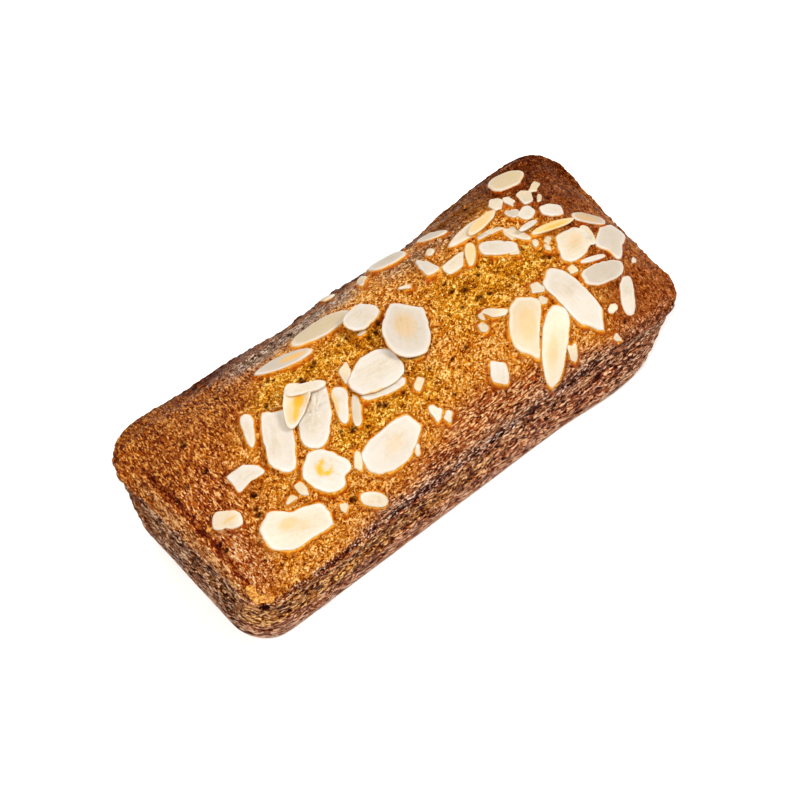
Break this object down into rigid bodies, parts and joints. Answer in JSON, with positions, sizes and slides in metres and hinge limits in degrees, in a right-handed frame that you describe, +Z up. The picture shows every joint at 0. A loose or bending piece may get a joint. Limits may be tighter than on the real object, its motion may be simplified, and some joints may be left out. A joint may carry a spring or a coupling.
{
  "type": "banana loaf cake",
  "caption": "Small whole banana loaf cake with a domed, browned, wrinkled crust, tapered sides and flaked almonds baked onto the top.",
  "frame": {"origin": "centre of the flat base that the loaf rests on", "axes": "+X along the length of the loaf, +Y across it towards its steeper long side, +Z up through the domed top"},
  "size_m": [0.1477, 0.0633, 0.05],
  "materials": {
    "crust": "browned, wrinkled, slightly glossy crust",
    "almond": "ivory, matte to satin",
    "toasted_almond": "tan, matte to satin"
  },
  "bodies": {
    "root": {"loaf": "crust", "almond_01": "almond", "almond_02": "almond", "almond_03": "almond", "almond_04": "almond", "almond_05": "almond", "almond_06": "almond", "almond_07": "almond", "almond_08": "almond", "almond_09": "almond", "almond_10": "almond", "almond_11": "toasted_almond", "almond_12": "almond", "almond_13": "almond", "almond_14": "toasted_almond", "almond_15": "almond", "almond_16": "toasted_almond", "almond_17": "almond", "almond_18": "almond", "almond_19": "toasted_almond", "almond_20": "toasted_almond", "almond_21": "almond", "almond_22": "almond", "almond_23": "almond", "almond_24": "almond", "almond_25": "almond", "almond_26": "almond", "almond_27": "almond", "almond_28": "almond", "almond_29": "toasted_almond", "almond_30": "almond", "almond_31": "toasted_almond", "almond_32": "almond", "almond_33": "toasted_almond", "almond_34": "almond", "almond_35": "toasted_almond", "almond_36": "almond", "almond_37": "almond", "almond_38": "almond", "almond_39": "almond", "almond_40": "almond", "almond_41": "almond"}
  },
  "joints": []
}
